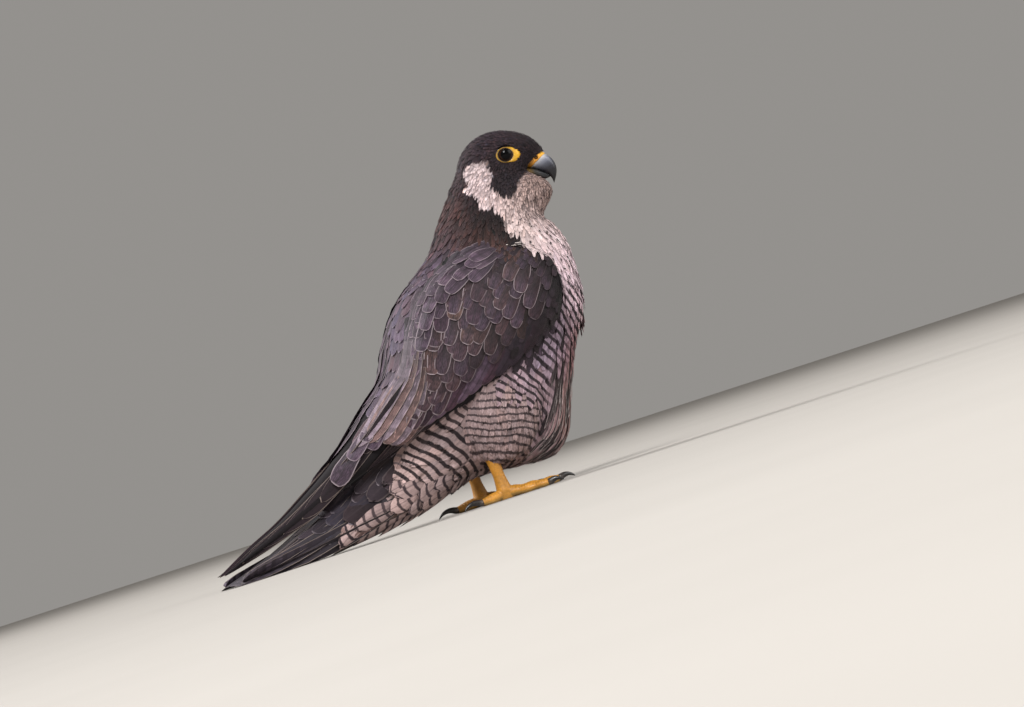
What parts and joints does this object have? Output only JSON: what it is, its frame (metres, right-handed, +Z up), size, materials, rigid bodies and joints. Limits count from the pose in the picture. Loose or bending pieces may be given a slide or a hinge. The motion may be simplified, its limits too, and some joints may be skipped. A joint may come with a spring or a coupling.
{
  "type": "peregrine falcon",
  "caption": "Standing bird of prey at life size, wings folded over a barred body, head turned to its right, hooked bill, and the tail resting on the floor.",
  "frame": {"origin": "centre of the base of the bounding box, on the floor that the soles and the tail's underside rest on", "axes": "+X the way the body faces, +Y the bird's left, +Z up"},
  "size_m": [0.3656, 0.1242, 0.285],
  "materials": {
    "pale_plumage": "soft cream feathers barred with slate",
    "slate_plumage": "slate-brown flight and covert feathers with pale edges",
    "bill_horn": "satin horn, pale blue-grey darkening to a black hook",
    "yellow_cere": "bare waxy skin",
    "yellow_scutes": "scaled skin of the legs and toes",
    "black_claw": "polished black horn",
    "dark_iris": "wet, very dark brown eye"
  },
  "bodies": {
    "root": {"head": "pale_plumage", "neck": "pale_plumage", "trunk": "pale_plumage", "thigh_left": "pale_plumage", "thigh_right": "pale_plumage", "tail": "slate_plumage", "wing_left": "slate_plumage", "wing_right": "slate_plumage", "bill_upper": "bill_horn", "bill_lower": "bill_horn", "cere": "yellow_cere", "eye_left": "dark_iris", "eye_right": "dark_iris", "leg_left": "yellow_scutes", "leg_right": "yellow_scutes", "claw_1_left": "black_claw", "claw_2_left": "black_claw", "claw_3_left": "black_claw", "claw_4_left": "black_claw", "claw_1_right": "black_claw", "claw_2_right": "black_claw", "claw_3_right": "black_claw", "claw_4_right": "black_claw"}
  },
  "joints": []
}
